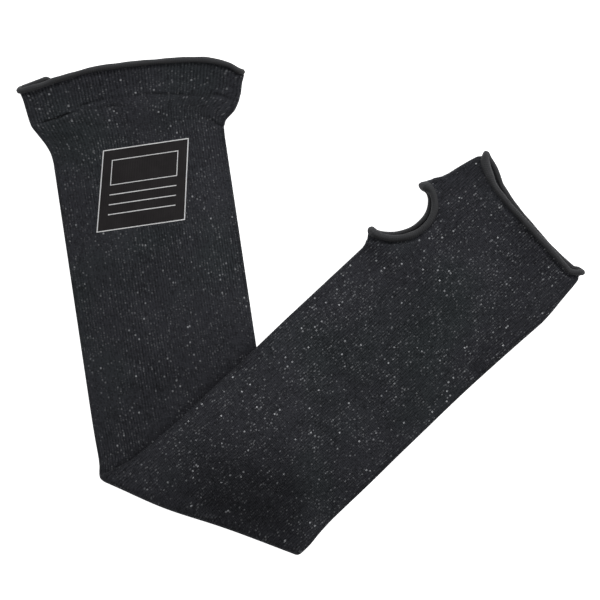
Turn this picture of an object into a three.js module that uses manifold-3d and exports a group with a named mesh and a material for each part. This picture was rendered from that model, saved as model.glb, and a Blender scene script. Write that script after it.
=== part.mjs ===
// A knitted cut resistant sleeve lying flat, folded once across itself, hand half on top.
// Millimetres, +Z up. The knitted tube is followed by its station (distance from the arm end along
// the centre line) and by the place across it; it is laid out flat first and then folded over.
import * as THREE from "three";
import { mergeVertices } from "three/addons/utils/BufferGeometryUtils.js";
import Module from "manifold-3d";

const wasm = await Module();
wasm.setup();

// Driving sizes
const LENGTH = 560.5;
const BODY_HALF = 53.75;
const CUFF_HALF = 69.9;
const HAND_HALF = 45.0;
const CUFF_HEIGHT = 24;
const WALL = 1.3;
const HOLLOW = 9;
const FOLD_HOLLOW = 0.8;
const SIDE_INSIDE = 0.7;
const SIDE_LIFT = 1.2;
const SIDE_LIFT_FROM = 0.72;
const LAYER_GAP = 1.2;
const CLEARANCE = 0.3;

// Section of the hollow: how flat its top is, and how softly it meets the sides
const DOME_FLATNESS = 4;
const DOME_SOFTNESS = 1.5;

// How the sleeve lies: headings in degrees, anticlockwise from +X
const ARM_HEADING = -81.5;
const HAND_HEADING = 42.4;
const FOLD_DIRECTION = -21;
const FOLD_AT = 284;
const FOLD_REACH = 1;
const DRIFT_START = 45;
const DRIFT_LENGTH = 105;
const OPEN_RUN = 65;
const PRESS_EDGE = 0.9;
const PRESS_START = 2;
const PRESS_RUN = 43;
const DRAPE_START = 7;
const DRAPE_RUN = 24;

// Rings slant to lie along the fold: where the slant starts and ends, and how far it is held on
// each side of the fold, in shares of the length
const SLANT_START = 0.13;
const SLANT_END = 0.83;
const SLANT_HOLD = 0.04;

// Ends of the tube: how far the edges are drawn out of square
const ARM_ARCH = 9.7;
const HAND_SLANT = 10;
const HAND_TAPER = 35;
const HAND_TAPER_POWER = 1.6;

// Rolled bindings
const BEAD_RADIUS = 1.9;
const BEAD_SIDES = 6;
const BEAD_TURN_ROOM = 0.15;

// Thumb hole, cut through both layers at the left side
const THUMB_AT = 506.7;
const THUMB_HALF_FRONT = 23.2;
const THUMB_HALF_BACK = 20.4;
const THUMB_DEPTH_FRONT = 21;
const THUMB_DEPTH_BACK = 15.8;
const THUMB_FLARE = 3.3;
const THUMB_FLARE_TILT = 0.4;
const THUMB_FLARE_RUN = 9;
const THUMB_SKEW = 3.5;
const THUMB_LEVEL_SHARE = -0.6;
const CUTTER_MARGIN = 8;
const EDGE_RUN = 15;

// Ribs of the cuff
const RIB_DEPTH = 0.35;
const RIB_STEPS = { flat: 120, arc: 8, crowding: 0 };
const GROOVE_STEPS = { flat: 24, arc: 8, crowding: 0 };

// Printed label on the upper layer of the arm half
const LABEL_AT = 53.3;
const LABEL_LENGTH = 50;
const LABEL_WIDTH = 54.8;
const LABEL_CENTRE = -0.2;
const LABEL_LEAN = -10.4;
const LABEL_THICKNESS = 0.5;

// Points round one ring of the tube, and the spacing of the rings
const RING_STEPS = { flat: 8, arc: 5, crowding: 0.6 };
const PATH_STEPS = { flat: 14, arc: 8, crowding: 0.6 };
const BINDING_STEPS = { arm: 40, thumb: 32, hand: 38 };
const THUMB_STEPS = 14;
const CUTTER_STEPS = { round: 36, high: 6 };
const LABEL_STEPS = 6;
const BEND_STEPS = 8;
const EDGE_SPACING = 8;
const BODY_SPACING = 19;

// Stations closer than this are one, and corners closer than the weld are one corner
const SAME_STATION = 0.01;
const WELD = 1e-4;

// Rounds in which a place that depends on its own width or height settles
const WIDTH_ROUNDS = 4;
const HEIGHT_ROUNDS = 5;

const QUARTER_TURN = 90;
const HALF_TURN = 180;

// Flare of the cuff on each side: down in cuff heights, widths in shares of the flare
const CUFF_FLARE = [
  { down: 0, left: 0.93, right: 1.06 },
  { down: 0.17, left: 0.89, right: 1.09 },
  { down: 0.33, left: 0.79, right: 0.98 },
  { down: 0.67, left: 0.71, right: 0.83 },
  { down: 1, left: 0.61, right: 0.58 },
  { down: 1.33, left: 0.36, right: 0.14 },
  { down: 1.67, left: 0.14, right: 0.01 },
  { down: 2, left: 0.03, right: 0 },
  { down: 2.3, left: 0, right: 0 },
];

// Sides of the tube past the cuff: along in shares of the length, widths in shares of the half width
const BODY_SIDES = [
  { along: 0.43, left: 1, right: 1 },
  { along: 0.456, left: 0.965, right: 1 },
  { along: 0.497, left: 0.9, right: 1 },
  { along: 0.533, left: 0.93, right: 1.015 },
  { along: 0.555, left: 0.94, right: 1.065 },
  { along: 0.573, left: 0.95, right: 1.13 },
  { along: 0.585, left: 0.955, right: 1.13 },
  { along: 0.6, left: 0.963, right: 1.105 },
  { along: 0.622, left: 0.972, right: 1.077 },
  { along: 0.68, left: 0.994, right: 1.05 },
  { along: 0.733, left: 1.022, right: 1.02 },
  { along: 0.837, left: 1.045, right: 0.99 },
  { along: 0.96, left: 1.045, right: 1.01 },
  { along: 1, left: 1.045, right: 1.04 },
];

// Arm end edge: across in shares of the half width, drop of each layer in shares of the arch
const ARM_EDGE = [
  { across: -1, under: 0.65, over: 0.8 },
  { across: -0.8, under: 0.4, over: 0.66 },
  { across: -0.61, under: 0.38, over: 0.48 },
  { across: -0.26, under: 0.08, over: 0.09 },
  { across: 0, under: 0, over: 0 },
  { across: 0.38, under: 0.04, over: 0.04 },
  { across: 0.66, under: 0.36, over: 0.38 },
  { across: 0.88, under: 1, over: 1 },
  { across: 1, under: 1.6, over: 1.6 },
];

// Hand end edge: reach of each layer past the square end in shares of the slant.
// Folded over, the layer that was laid out underneath faces up.
const HAND_EDGE = [
  { across: -1, under: 1, over: 1.1 },
  { across: -0.93, under: 0.65, over: 1.15 },
  { across: -0.8, under: 0.25, over: 1.0 },
  { across: -0.55, under: 0, over: 0.6 },
  { across: -0.25, under: 0, over: 0.34 },
  { across: 0, under: 0, over: 0.25 },
  { across: 0.45, under: 0, over: 0.12 },
  { across: 0.85, under: 0, over: 0.27 },
  { across: 0.93, under: 0.25, over: 0.5 },
  { across: 1, under: 0.6, over: 0.75 },
];

// Soft dents in the upward layer: along in shares of the length, across, run and width in shares of
// the half width, depth in shares of the hollow, turn in degrees from straight across the sleeve
const DENTS = [
  { along: 0.068, across: -0.5, turn: 6, run: 0.32, width: 0.05, depth: 0.08 },
  { along: 0.088, across: 0.88, turn: -30, run: 0.2, width: 0.09, depth: 0.12 },
  { along: 0.367, across: -0.55, turn: 2, run: 0.7, width: 0.11, depth: 0.14 },
  { along: 0.425, across: -0.75, turn: 24, run: 0.5, width: 0.14, depth: 0.1 },
  { along: 0.59, across: 0.35, turn: 30, run: 0.6, width: 0.14, depth: 0.14 },
  { along: 0.732, across: -0.45, turn: -4, run: 0.6, width: 0.12, depth: 0.16 },
  { along: 0.82, across: 0.4, turn: -14, run: 0.6, width: 0.14, depth: 0.09 },
];

const radians = THREE.MathUtils.degToRad;
const mix = THREE.MathUtils.lerp;
const smooth = (value) => THREE.MathUtils.smoothstep(value, 0, 1);

// Sizes that follow from the ones above
const startStation = BEAD_RADIUS;
const endStation = LENGTH - BEAD_RADIUS;
const foldThickness = 2 * WALL + FOLD_HOLLOW;
const pressedThickness = 2 * (WALL + SIDE_INSIDE);
const handBase = pressedThickness + LAYER_GAP;
const bendHeight = (handBase + foldThickness) / 2;
const bendMiddle = bendHeight - foldThickness / 2;
const beadLift = BEAD_RADIUS - WALL / 2;
const beadInside = BEAD_RADIUS + BEAD_TURN_ROOM - WALL / 2;
const foldSlope = Math.tan(radians(ARM_HEADING + QUARTER_TURN - FOLD_DIRECTION));
const drift = HAND_HEADING - (2 * FOLD_DIRECTION - ARM_HEADING);
const alongFold = heading(FOLD_DIRECTION);
const pastFold = heading(FOLD_DIRECTION - QUARTER_TURN);
const armAhead = heading(ARM_HEADING);
const bendPerStation = armAhead.dot(pastFold);
const bendFrom = FOLD_REACH - bendHeight;
const bendStart = FOLD_AT + bendFrom / bendPerStation;
const bendEnd = bendStart + Math.PI * bendMiddle / bendPerStation;

function heading(degrees) {
  return new THREE.Vector2(Math.cos(radians(degrees)), Math.sin(radians(degrees)));
}

// A smooth curve through the rows of a table, with no overshoot, flat beyond both ends
function readTable(rows, key, column, at) {
  const last = rows.length - 1;
  if (at <= rows[0][key]) return rows[0][column];
  if (at >= rows[last][key]) return rows[last][column];
  const row = rows.findIndex((each) => each[key] > at) - 1;
  const rise = (i) => (rows[i + 1][column] - rows[i][column]) / (rows[i + 1][key] - rows[i][key]);
  const slope = (i) => {
    if (i === 0 || i === last) return 0;
    const before = rise(i - 1);
    const after = rise(i);
    return before * after > 0 ? 2 * before * after / (before + after) : 0;
  };
  const step = rows[row + 1][key] - rows[row][key];
  const part = (at - rows[row][key]) / step;
  const square = part * part;
  const cube = square * part;
  return rows[row][column] * (2 * cube - 3 * square + 1)
    + rows[row + 1][column] * (3 * square - 2 * cube)
    + slope(row) * step * (cube - 2 * square + part)
    + slope(row + 1) * step * (cube - square);
}

// Centre line of the sleeve laid out flat: a straight arm half, then a slight drift to one side
function layOut(station, across) {
  const past = station - FOLD_AT;
  const share = THREE.MathUtils.clamp((past - DRIFT_START) / DRIFT_LENGTH, 0, 1);
  const turned = ARM_HEADING - drift * share;
  const ahead = heading(turned);
  const left = heading(turned + QUARTER_TURN);
  const place = armAhead.clone().multiplyScalar(Math.min(past, DRIFT_START));
  if (share > 0) {
    const radius = DRIFT_LENGTH / radians(drift);
    const startLeft = heading(ARM_HEADING + QUARTER_TURN);
    place.add(left.clone().sub(startLeft).multiplyScalar(radius));
  }
  const straight = Math.max(past - DRIFT_START - DRIFT_LENGTH, 0);
  return place.addScaledVector(ahead, straight).addScaledVector(left, across);
}

// Folds a laid out point of the given height over the bend line
function foldOver(flat, height) {
  const along = flat.dot(alongFold);
  const past = flat.dot(pastFold);
  const turn = (past - bendFrom) / bendMiddle;
  let after = past;
  let level = height;
  if (turn > 0 && turn < Math.PI) {
    after = bendFrom + (bendHeight - height) * Math.sin(turn);
    level = bendHeight - (bendHeight - height) * Math.cos(turn);
  } else if (turn >= Math.PI) {
    after = Math.PI * bendMiddle + 2 * bendFrom - past;
    level = 2 * bendHeight - height;
  }
  const plan = alongFold.clone().multiplyScalar(along).addScaledVector(pastFold, after);
  return new THREE.Vector3(plan.x, plan.y, level);
}

// Shares of how much a ring follows the fold, the cuff edge or the hand edge
function foldShare(station) {
  const start = SLANT_START * LENGTH;
  const end = SLANT_END * LENGTH;
  const hold = SLANT_HOLD * LENGTH;
  const rising = (station - start) / (FOLD_AT - hold - start);
  const falling = (end - station) / (end - hold - FOLD_AT);
  return Math.min(smooth(rising), smooth(falling));
}

const armShare = (station) => 1 - smooth((station - CUFF_HEIGHT) / (2 * CUFF_HEIGHT));
const handShare = (station) => smooth((station - endStation + HAND_TAPER) / HAND_TAPER);

// Room inside the side bend: tight at the fold, wide enough at the bound edges for the beads
function sideInside(station) {
  const fromFold = Math.abs(station - FOLD_AT) / OPEN_RUN;
  const plain = mix(FOLD_HOLLOW / 2, SIDE_INSIDE, smooth(fromFold));
  const atArm = 1 - smooth((station - CUFF_HEIGHT) / EDGE_RUN);
  const atHand = smooth((station - THUMB_AT + THUMB_HALF_FRONT + EDGE_RUN) / EDGE_RUN);
  return mix(plain, beadInside, Math.max(atArm, atHand));
}

function hollowAt(station) {
  const fromFold = Math.abs(station - (bendStart + bendEnd) / 2) - (bendEnd - bendStart) / 2;
  return mix(FOLD_HOLLOW, HOLLOW, smooth(fromFold / OPEN_RUN));
}

// Half width of one side at a ring; the fold slope moves the edge to another station than the ring's
function sideWidth(station, side) {
  const sign = side === "left" ? -1 : 1;
  const slope = foldSlope * foldShare(station);
  const flare = (CUFF_HALF - BODY_HALF) * readTable(CUFF_FLARE, "down", side, station / CUFF_HEIGHT);
  let width = BODY_HALF;
  for (let round = 0; round < WIDTH_ROUNDS; round += 1) {
    const edge = station + sign * slope * width;
    const taper = Math.max(edge - endStation + HAND_TAPER, 0) / HAND_TAPER;
    width = BODY_HALF * readTable(BODY_SIDES, "along", side, edge / LENGTH);
    width += flare - (BODY_HALF - HAND_HALF) * taper ** HAND_TAPER_POWER;
    if (side === "left") width += thumbFlare(edge);
  }
  return width;
}

function thumbFlare(station) {
  const offset = (station - THUMB_AT) / THUMB_HALF_FRONT;
  const tilt = 1 - THUMB_FLARE_TILT * THREE.MathUtils.clamp(offset, -1, 1);
  const outside = Math.max(Math.abs(offset) - 1, 0) * THUMB_HALF_FRONT;
  return THUMB_FLARE * tilt * (1 - smooth(outside / THUMB_FLARE_RUN));
}

// Height that the lower layer is raised by, so that the bindings rest on the ground
function edgeLift(station, across) {
  const arm = 1 - smooth((station - startStation) / EDGE_RUN);
  const hand = smooth((station - endStation + EDGE_RUN) / EDGE_RUN);
  const away = Math.hypot(station - THUMB_AT, across + sideWidth(THUMB_AT, "left"));
  const thumb = 1 - smooth((away - THUMB_HALF_FRONT) / EDGE_RUN);
  return beadLift * Math.max(arm, hand, thumb);
}

function dentAt(station, across) {
  let depth = 0;
  for (const dent of DENTS) {
    const along = station - dent.along * LENGTH;
    const aside = across - dent.across * BODY_HALF;
    const turn = radians(dent.turn);
    const lengthwise = (aside * Math.cos(turn) + along * Math.sin(turn)) / (dent.run * BODY_HALF);
    const crosswise = (along * Math.cos(turn) - aside * Math.sin(turn)) / (dent.width * BODY_HALF);
    depth += dent.depth * HOLLOW * Math.exp(-(lengthwise ** 2) - crosswise ** 2);
  }
  return depth;
}

// Edges of the two halves where they cross, which press the arm half down and carry the hand half
function outsideHandHalf(plan) {
  const side = layOut(bendEnd, -BODY_HALF * PRESS_EDGE);
  const onTop = foldOver(side, 0);
  const outward = heading(2 * FOLD_DIRECTION - ARM_HEADING + QUARTER_TURN);
  return (plan.x - onTop.x) * outward.x + (plan.y - onTop.y) * outward.y;
}

function outsideArmHalf(plan) {
  const outward = heading(ARM_HEADING + QUARTER_TURN);
  return plan.x * outward.x + plan.y * outward.y - BODY_HALF;
}

// Places round a ring: along the lower layer, up the right side, back along the upper layer, down.
// The places of a crowded ring lie closer together towards its sides.
function spotsAround(steps) {
  const spots = [];
  const spread = (i) => {
    const even = -1 + 2 * i / steps.flat;
    return mix(even, Math.sin(even * Math.PI / 2), steps.crowding);
  };
  const bend = (i) => HALF_TURN * i / steps.arc - QUARTER_TURN;
  for (let i = 0; i < steps.flat; i += 1) spots.push({ layer: -1, share: spread(i) });
  for (let i = 0; i < steps.arc; i += 1) spots.push({ side: 1, turn: bend(i) });
  for (let i = 0; i < steps.flat; i += 1) spots.push({ layer: 1, share: -spread(i) });
  for (let i = 0; i < steps.arc; i += 1) spots.push({ side: -1, turn: -bend(i) });
  return spots;
}

// One point of the cloth at a ring: depth is measured in from the outer surface
function clothPoint(station, spot, depth) {
  const radius = WALL + sideInside(station);
  const left = sideWidth(station, "left");
  const right = sideWidth(station, "right");
  const share = spot.side ?? spot.share;
  const reach = share < 0 ? left - radius : right - radius;
  let across = share * reach;
  let height = spot.layer === 1 ? 2 * radius - depth : depth;
  let level = spot.layer;
  if (spot.side) {
    const angle = radians(spot.turn);
    across += spot.side * (radius - depth) * Math.cos(angle);
    height = radius + (radius - depth) * Math.sin(angle);
    level = Math.sin(angle);
  }

  const width = share < 0 ? left : right;
  const edgePlace = THREE.MathUtils.clamp(across / width, -1, 1);
  const over = (level + 1) / 2;
  const armDrop = ARM_ARCH * armShare(station) * mix(
    readTable(ARM_EDGE, "across", "under", edgePlace),
    readTable(ARM_EDGE, "across", "over", edgePlace), over);
  const handReach = HAND_SLANT * handShare(station) * mix(
    readTable(HAND_EDGE, "across", "under", edgePlace),
    readTable(HAND_EDGE, "across", "over", edgePlace), over);
  const slope = foldSlope * foldShare(station);
  const place = station + slope * across + armDrop + handReach;
  const flat = layOut(place, across);

  const folded = station > FOLD_AT;
  const plan = foldOver(flat, 0);
  const section = (1 - share ** DOME_FLATNESS) ** DOME_SOFTNESS;
  const dome = (hollowAt(station) - 2 * sideInside(station)) * section;
  const inBend = station > bendStart && station < bendEnd;
  if (folded) height += foldThickness - 2 * radius;
  if (!folded && spot.layer === 1) {
    const press = smooth((outsideHandHalf(plan) - PRESS_START) / PRESS_RUN);
    height += dome * press - dentAt(place, across) * press * (1 - share ** 2);
  }
  if (folded && spot.layer === -1) height -= dome - dentAt(place, across) * (1 - share ** 2);

  const point = foldOver(flat, height);
  if (inBend) return point;
  const aside = smooth((Math.abs(across) / width - SIDE_LIFT_FROM) / (1 - SIDE_LIFT_FROM));
  const puffed = smooth((hollowAt(station) - FOLD_HOLLOW) / (HOLLOW - FOLD_HOLLOW));
  if (folded) {
    const settled = smooth((station - bendEnd) / EDGE_RUN);
    const drape = smooth((outsideArmHalf(plan) - DRAPE_START) / DRAPE_RUN);
    point.z += SIDE_LIFT * aside * puffed - handBase * drape * settled;
  } else {
    const press = smooth((outsideHandHalf(plan) - PRESS_START) / PRESS_RUN);
    point.z += SIDE_LIFT * aside * puffed * press;
  }
  point.z += edgeLift(station, across);
  return point;
}

// Rings at even spacing between two stations, both included
function evenStations(from, to, spacing) {
  const count = Math.max(Math.round((to - from) / spacing), 1);
  return Array.from({ length: count + 1 }, (_, i) => mix(from, to, i / count));
}

function joinRuns(runs) {
  const stations = runs.flat();
  return stations.filter((station, i) => i === 0 || station - stations[i - 1] > SAME_STATION);
}

// Closed skin of a stretch of tube: an outer and an inner surface and the two end edges
function clothGeometry(stations, steps, growth, ribs) {
  const spots = spotsAround(steps);
  const count = spots.length;
  const positions = [];
  for (const inner of [false, true]) {
    for (const station of stations) {
      spots.forEach((spot, i) => {
        const valley = ribs && i % 2 === 1 ? RIB_DEPTH : 0;
        const depth = inner ? WALL + growth : valley - growth;
        positions.push(...clothPoint(station, spot, depth).toArray());
      });
    }
  }
  const at = (inner, ring, i) => (inner * stations.length + ring) * count + i % count;
  const faces = [];
  const quad = (a, b, c, d) => faces.push(a, b, c, a, c, d);
  const last = stations.length - 1;
  for (let i = 0; i < count; i += 1) {
    for (let ring = 0; ring < last; ring += 1) {
      quad(at(0, ring, i), at(0, ring, i + 1), at(0, ring + 1, i + 1), at(0, ring + 1, i));
      quad(at(1, ring, i + 1), at(1, ring, i), at(1, ring + 1, i), at(1, ring + 1, i + 1));
    }
    quad(at(0, 0, i + 1), at(0, 0, i), at(1, 0, i), at(1, 0, i + 1));
    quad(at(0, last, i), at(0, last, i + 1), at(1, last, i + 1), at(1, last, i));
  }
  const geometry = new THREE.BufferGeometry();
  geometry.setAttribute("position", new THREE.Float32BufferAttribute(positions, 3));
  geometry.setIndex(faces);
  return geometry;
}

// Mesh library solids, from and to closed geometries
function toSolid(geometry) {
  const bare = geometry.clone();
  bare.deleteAttribute("normal");
  bare.deleteAttribute("uv");
  const welded = mergeVertices(bare, WELD);
  return new wasm.Manifold(new wasm.Mesh({
    numProp: 3,
    vertProperties: new Float32Array(welded.attributes.position.array),
    triVerts: new Uint32Array(welded.index.array),
  }));
}

function toGeometry(solid) {
  const mesh = solid.getMesh();
  const geometry = new THREE.BufferGeometry();
  const positions = new Float32Array(mesh.numVert * 3);
  for (let i = 0; i < mesh.numVert; i += 1) {
    for (let axis = 0; axis < 3; axis += 1) {
      positions[3 * i + axis] = mesh.vertProperties[mesh.numProp * i + axis];
    }
  }
  geometry.setAttribute("position", new THREE.BufferAttribute(positions, 3));
  geometry.setIndex(new THREE.BufferAttribute(new Uint32Array(mesh.triVerts), 1));
  return geometry;
}

const volumeOf = (solid) => Math.abs(solid.volume());

// Keeps the one main body of a cut, without the slivers a cut can leave
function mainBody(solid) {
  const bodies = solid.decompose();
  return bodies.reduce((best, each) => (volumeOf(each) > volumeOf(best) ? each : best));
}

// Thumb hole at a level between the lower wall (0) and the upper wall (1)
const thumbSide = () => clothPoint(THUMB_AT, { side: -1, turn: 0 }, WALL / 2);

function thumbLevel(height) {
  const low = clothPoint(THUMB_AT, { layer: 1, share: THUMB_LEVEL_SHARE }, WALL / 2).z;
  const high = clothPoint(THUMB_AT, { layer: -1, share: THUMB_LEVEL_SHARE }, WALL / 2).z;
  return THREE.MathUtils.clamp((height - low) / (high - low), 0, 1);
}

// Place of the hole's edge in the sleeve's own terms; turn runs from 0 at the arm side to
// half a turn at the hand side
function thumbEdge(turn, height, shrink) {
  const level = thumbLevel(height);
  const half = mix(THUMB_HALF_BACK, THUMB_HALF_FRONT, level) - shrink;
  const depth = mix(THUMB_DEPTH_BACK, THUMB_DEPTH_FRONT, level) - shrink;
  const sine = Math.sin(radians(turn));
  return {
    along: -half * Math.cos(radians(turn)) + THUMB_SKEW * sine,
    inward: depth * sine,
  };
}

// Vertical cutter of the hole, narrower towards the lower wall
function thumbCutter(shrink) {
  const side = thumbSide();
  const ahead = heading(HAND_HEADING);
  const outward = heading(HAND_HEADING + QUARTER_TURN);
  const reach = CUTTER_MARGIN + HOLLOW + handBase;
  const cutter = new THREE.CylinderGeometry(1, 1, 2 * reach, CUTTER_STEPS.round, CUTTER_STEPS.high);
  cutter.rotateX(Math.PI / 2);
  const points = cutter.attributes.position;
  for (let i = 0; i < points.count; i += 1) {
    const turn = THREE.MathUtils.radToDeg(Math.atan2(-points.getY(i), -points.getX(i)));
    const share = Math.hypot(points.getX(i), points.getY(i));
    const height = side.z + points.getZ(i);
    const edge = thumbEdge(turn, height, shrink);
    const x = side.x + share * (ahead.x * edge.along - outward.x * edge.inward);
    const y = side.y + share * (ahead.y * edge.along - outward.y * edge.inward);
    points.setXYZ(i, x, y, height);
  }
  return cutter;
}

// Middle of the wall at the hole's edge, on the layer that faces up (true) or down
function thumbWallPoint(turn, up) {
  const radius = WALL + sideInside(THUMB_AT);
  const middle = radius - WALL / 2;
  const sideMiddle = sideWidth(THUMB_AT, "left") - radius + middle;
  let height = thumbSide().z;
  let point;
  for (let round = 0; round < HEIGHT_ROUNDS; round += 1) {
    const edge = thumbEdge(turn, height, 0);
    const station = THUMB_AT + edge.along;
    const flare = sideWidth(station, "left") - sideWidth(THUMB_AT, "left");
    const reach = sideWidth(station, "left") - radius;
    const across = -(sideMiddle + flare * (1 - Math.sin(radians(turn)))) + edge.inward;
    if (across > -reach) {
      point = clothPoint(station, { layer: up ? -1 : 1, share: across / reach }, WALL / 2);
    } else {
      const lean = Math.acos(THREE.MathUtils.clamp((-reach - across) / middle, 0, 1));
      const angle = THREE.MathUtils.radToDeg(lean) * (up ? -1 : 1);
      point = clothPoint(station, { side: -1, turn: angle }, WALL / 2);
    }
    height = point.z;
  }
  return point;
}

function thumbPath() {
  const points = [];
  const turnAt = (i) => HALF_TURN * i / THUMB_STEPS;
  for (let i = 0; i < THUMB_STEPS; i += 1) points.push(thumbWallPoint(turnAt(i), true));
  for (let i = 0; i < THUMB_STEPS; i += 1) points.push(thumbWallPoint(HALF_TURN - turnAt(i), false));
  return new THREE.CatmullRomCurve3(points, true, "centripetal");
}

// Middle of the wall round an end of the tube
function endPath(station) {
  const points = spotsAround(PATH_STEPS).map((spot) => clothPoint(station, spot, WALL / 2));
  return new THREE.CatmullRomCurve3(points, true, "centripetal");
}

// A bead rolled over an edge of the cloth, with a groove that the cloth's edge sits in
function bindingGeometry(path, steps, cloth) {
  const bead = new THREE.TubeGeometry(path, steps, BEAD_RADIUS, BEAD_SIDES, true);
  return toGeometry(mainBody(toSolid(bead).subtract(cloth)));
}

// Label: a thin plate that follows the upper layer
function labelGeometry() {
  const rows = LABEL_STEPS;
  const columns = LABEL_STEPS;
  const positions = [];
  const topSpot = (row, column) => {
    const along = LABEL_AT + LABEL_LENGTH * row / rows;
    const lean = LABEL_LEAN * (row / rows - 0.5);
    const across = LABEL_CENTRE + lean + LABEL_WIDTH * (column / columns - 0.5);
    const station = along - foldSlope * foldShare(along) * across;
    const radius = WALL + sideInside(station);
    const side = across < 0 ? "left" : "right";
    return { station, spot: { layer: 1, share: across / (sideWidth(station, side) - radius) } };
  };
  for (const depth of [-CLEARANCE, -CLEARANCE - LABEL_THICKNESS]) {
    for (let row = 0; row <= rows; row += 1) {
      for (let column = 0; column <= columns; column += 1) {
        const { station, spot } = topSpot(row, column);
        positions.push(...clothPoint(station, spot, depth).toArray());
      }
    }
  }
  const perLayer = (rows + 1) * (columns + 1);
  const at = (top, row, column) => top * perLayer + row * (columns + 1) + column;
  const faces = [];
  const quad = (a, b, c, d) => faces.push(a, b, c, a, c, d);
  for (let row = 0; row < rows; row += 1) {
    for (let column = 0; column < columns; column += 1) {
      const corners = [[row, column], [row + 1, column], [row + 1, column + 1], [row, column + 1]];
      quad(...corners.map(([r, c]) => at(1, r, c)));
      quad(...corners.reverse().map(([r, c]) => at(0, r, c)));
    }
    quad(at(0, row, 0), at(0, row + 1, 0), at(1, row + 1, 0), at(1, row, 0));
    quad(at(1, row, columns), at(1, row + 1, columns), at(0, row + 1, columns), at(0, row, columns));
  }
  for (let column = 0; column < columns; column += 1) {
    quad(at(0, 0, column + 1), at(0, 0, column), at(1, 0, column), at(1, 0, column + 1));
    quad(at(0, rows, column), at(0, rows, column + 1), at(1, rows, column + 1), at(1, rows, column));
  }
  const geometry = new THREE.BufferGeometry();
  geometry.setAttribute("position", new THREE.Float32BufferAttribute(positions, 3));
  geometry.setIndex(faces);
  return geometry;
}

// Stations of the pieces
const cuffStations = evenStations(startStation, CUFF_HEIGHT, CUFF_HEIGHT / 2);
const bodyStart = CUFF_HEIGHT + CLEARANCE;
const bodyStations = joinRuns([
  evenStations(bodyStart, bodyStart + 2 * CUFF_HEIGHT, EDGE_SPACING),
  evenStations(bodyStart + 2 * CUFF_HEIGHT, bendStart - EDGE_SPACING, BODY_SPACING),
  evenStations(bendStart, bendEnd, (bendEnd - bendStart) / BEND_STEPS),
  evenStations(bendEnd + EDGE_SPACING, endStation - HAND_TAPER, BODY_SPACING),
  evenStations(endStation - HAND_TAPER, endStation, EDGE_SPACING),
]);
const armStations = [startStation - CLEARANCE, ...cuffStations];
const handStations = [...bodyStations.slice(-3), endStation + CLEARANCE];
const thumbStations = bodyStations.filter((station) => station > THUMB_AT - 2 * THUMB_HALF_FRONT);

const bodySolid = toSolid(clothGeometry(bodyStations, RING_STEPS, 0, false));
const cutBody = mainBody(bodySolid.subtract(toSolid(thumbCutter(0))));
const handCloth = toSolid(clothGeometry(handStations, RING_STEPS, CLEARANCE, false));
const armCloth = toSolid(clothGeometry(armStations, GROOVE_STEPS, CLEARANCE, false));
const thumbCloth = toSolid(clothGeometry(thumbStations, RING_STEPS, CLEARANCE, false))
  .subtract(toSolid(thumbCutter(CLEARANCE)));

const knit = new THREE.MeshStandardMaterial({ color: 0x2b2d30, roughness: 0.95, metalness: 0 });
const ribKnit = new THREE.MeshStandardMaterial({ color: 0x303236, roughness: 0.95, metalness: 0 });
const bindingYarn = new THREE.MeshStandardMaterial({ color: 0x3a3a3c, roughness: 0.8, metalness: 0 });
const labelPrint = new THREE.MeshStandardMaterial({ color: 0x241f21, roughness: 0.6, metalness: 0 });

const pieces = [
  { name: "sleeve_tube", geometry: toGeometry(cutBody), material: knit },
  { name: "arm_cuff", geometry: clothGeometry(cuffStations, RIB_STEPS, 0, true), material: ribKnit },
  {
    name: "arm_binding",
    geometry: bindingGeometry(endPath(startStation), BINDING_STEPS.arm, armCloth),
    material: bindingYarn,
  },
  {
    name: "thumb_binding",
    geometry: bindingGeometry(thumbPath(), BINDING_STEPS.thumb, thumbCloth),
    material: bindingYarn,
  },
  {
    name: "hand_binding",
    geometry: bindingGeometry(endPath(endStation), BINDING_STEPS.hand, handCloth),
    material: bindingYarn,
  },
  { name: "label", geometry: labelGeometry(), material: labelPrint },
];

// The sleeve stands on z = 0, with the middle of its outline at the origin
const box = new THREE.Box3();
for (const piece of pieces) {
  piece.geometry.computeBoundingBox();
  box.union(piece.geometry.boundingBox);
}
const middle = box.getCenter(new THREE.Vector3());
const sleeve = new THREE.Group();
for (const piece of pieces) {
  const mesh = new THREE.Mesh(piece.geometry, piece.material);
  mesh.name = piece.name;
  mesh.position.set(-middle.x, -middle.y, -box.min.z);
  sleeve.add(mesh);
}

export default sleeve;
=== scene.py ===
# Cut resistant sleeve lying flat, folded once across itself: the finished look of each piece.
import math

import bmesh
import bpy
import numpy as np
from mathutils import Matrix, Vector
from mathutils.bvhtree import BVHTree


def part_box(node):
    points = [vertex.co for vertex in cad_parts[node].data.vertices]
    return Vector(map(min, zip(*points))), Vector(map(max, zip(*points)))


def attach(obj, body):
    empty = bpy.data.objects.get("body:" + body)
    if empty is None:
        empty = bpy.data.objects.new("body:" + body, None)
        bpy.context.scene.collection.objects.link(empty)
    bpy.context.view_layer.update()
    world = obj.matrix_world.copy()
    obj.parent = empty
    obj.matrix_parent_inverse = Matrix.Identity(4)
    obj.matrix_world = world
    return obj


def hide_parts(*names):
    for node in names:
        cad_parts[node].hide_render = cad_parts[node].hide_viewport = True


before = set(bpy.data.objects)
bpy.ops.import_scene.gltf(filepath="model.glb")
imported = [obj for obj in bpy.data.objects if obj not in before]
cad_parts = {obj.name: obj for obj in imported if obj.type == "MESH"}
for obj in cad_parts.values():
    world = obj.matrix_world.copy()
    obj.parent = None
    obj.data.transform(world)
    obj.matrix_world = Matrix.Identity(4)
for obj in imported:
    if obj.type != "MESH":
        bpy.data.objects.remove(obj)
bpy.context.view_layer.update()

# Sizes of the sleeve in millimetres, as in the solids
LENGTH = 560.5
BODY_HALF = 53.75
CUFF_HALF = 69.9
HAND_HALF = 45.0
CUFF_HEIGHT = 24
WALL = 1.3
HOLLOW = 9
FOLD_HOLLOW = 0.8
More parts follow.
